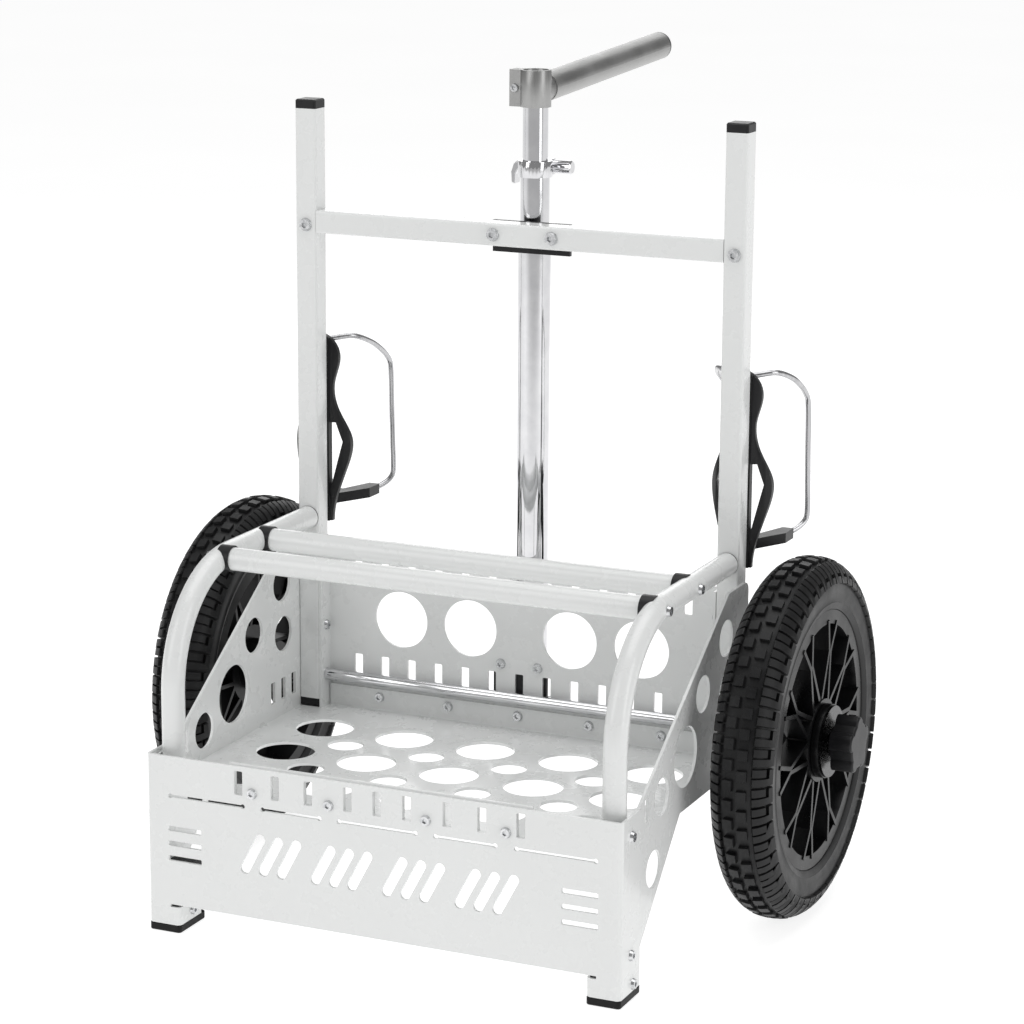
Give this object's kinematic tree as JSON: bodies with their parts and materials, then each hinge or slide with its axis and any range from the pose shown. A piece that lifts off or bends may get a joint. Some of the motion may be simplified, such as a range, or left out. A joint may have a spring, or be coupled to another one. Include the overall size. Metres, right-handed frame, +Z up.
{
  "type": "game cart",
  "caption": "Two-wheeled cart with a perforated sheet basket on a tube frame, seat tubes, bottle cages and a telescopic pull pole with a grip.",
  "frame": {"origin": "on the ground, under the centre of the whole cart's box, standing on its tyres and front feet", "axes": "+X to the cart's right, +Y to the back, where the grip points, +Z up"},
  "size_m": [0.644, 0.6026, 0.7247],
  "materials": {
    "white_coat": "gloss powder coat",
    "black_plastic": "moulded, satin",
    "black_rubber": "matt",
    "tyre_rubber": "moulded tread",
    "zinc_steel": "bright zinc",
    "chrome": "polished",
    "satin_aluminium": "bead-blasted anodised",
    "wire_aluminium": "drawn wire"
  },
  "bodies": {
    "frame": {"left_upright": "white_coat", "right_upright": "white_coat", "crossbar": "white_coat", "upright_top_caps": "black_plastic", "upright_bottom_caps": "black_plastic", "upright_screws": "zinc_steel", "left_side_tube": "white_coat", "right_side_tube": "white_coat", "side_tube_rings": "white_coat", "rear_seat_tube": "white_coat", "front_seat_tube": "white_coat", "seat_tube_saddles": "black_plastic", "seat_tube_screws": "zinc_steel", "floor_panel": "white_coat", "front_panel": "white_coat", "front_panel_screws": "zinc_steel", "side_flange_screws": "zinc_steel", "foot_screws": "zinc_steel", "back_panel": "white_coat", "floor_rear_screws": "zinc_steel", "back_panel_screws": "zinc_steel", "left_side_panel": "white_coat", "right_side_panel": "white_coat", "left_foot": "black_rubber", "right_foot": "black_rubber", "axle_rod": "zinc_steel", "axle_spacers": "black_plastic", "pole_outer_tube": "chrome", "pole_bracket": "black_plastic", "pole_bracket_screws": "zinc_steel", "pole_foot_bracket": "black_plastic", "pole_foot_screws": "zinc_steel", "lower_clamp_collar": "chrome", "lower_clamp_bolt": "chrome", "left_cage_body": "black_plastic", "left_cage_hoop": "wire_aluminium", "right_cage_body": "black_plastic", "right_cage_hoop": "wire_aluminium", "cage_screws": "zinc_steel"},
    "left_wheel": {"left_tyre": "tyre_rubber", "left_rim": "black_plastic", "left_hub_bushes": "black_plastic", "left_hub_ring": "chrome"},
    "right_wheel": {"right_tyre": "tyre_rubber", "right_rim": "black_plastic", "right_hub_bushes": "black_plastic", "right_hub_ring": "chrome"},
    "left_knob": {"left_knob": "black_plastic"},
    "right_knob": {"right_knob": "black_plastic"},
    "lower_lever": {"lower_clamp_lever": "chrome"},
    "middle_pole": {"pole_middle_tube": "chrome", "upper_clamp_collar": "chrome", "upper_clamp_bolt": "chrome"},
    "upper_lever": {"upper_clamp_lever": "chrome"},
    "inner_guide": {"pole_guide": "black_plastic"},
    "handle": {"pole_inner_tube": "chrome", "handle_head": "satin_aluminium", "head_screw": "zinc_steel", "handle_grip": "satin_aluminium", "grip_plug": "black_plastic"}
  },
  "joints": [
    {"name": "left_wheel_spin", "type": "hinge", "parent": "frame", "child": "left_wheel", "pos_m": [-0.265, -0.0212, 0.1575], "axis": [1, 0, 0], "continuous": true},
    {"name": "right_wheel_spin", "type": "hinge", "parent": "frame", "child": "right_wheel", "pos_m": [0.265, -0.0212, 0.1575], "axis": [1, 0, 0], "continuous": true},
    {"name": "left_knob_turn", "type": "hinge", "parent": "frame", "child": "left_knob", "pos_m": [-0.31, -0.0212, 0.1575], "axis": [1, 0, 0], "continuous": true},
    {"name": "right_knob_turn", "type": "hinge", "parent": "frame", "child": "right_knob", "pos_m": [0.31, -0.0212, 0.1575], "axis": [1, 0, 0], "continuous": true},
    {"name": "lower_lever_open", "type": "hinge", "parent": "frame", "child": "lower_lever", "pos_m": [-0.015, 0.0341, 0.571], "axis": [0, 1, 0], "range_deg": [0, 90]},
    {"name": "middle_pole_slide", "type": "slide", "parent": "frame", "child": "middle_pole", "axis": [0, 0, 1], "range_m": [-0.025, 0.25]},
    {"name": "upper_lever_open", "type": "hinge", "parent": "middle_pole", "child": "upper_lever", "pos_m": [-0.015, 0.0325, 0.6285], "axis": [0, 1, 0], "range_deg": [0, 90]},
    {"name": "inner_pole_slide", "type": "slide", "parent": "middle_pole", "child": "inner_guide", "axis": [0, 0, 1], "range_m": [-0.04, 0.25]},
    {"name": "handle_swivel", "type": "hinge", "parent": "inner_guide", "child": "handle", "pos_m": [0, 0.0133, 0.65], "axis": [0, 0, 1], "continuous": true}
  ]
}
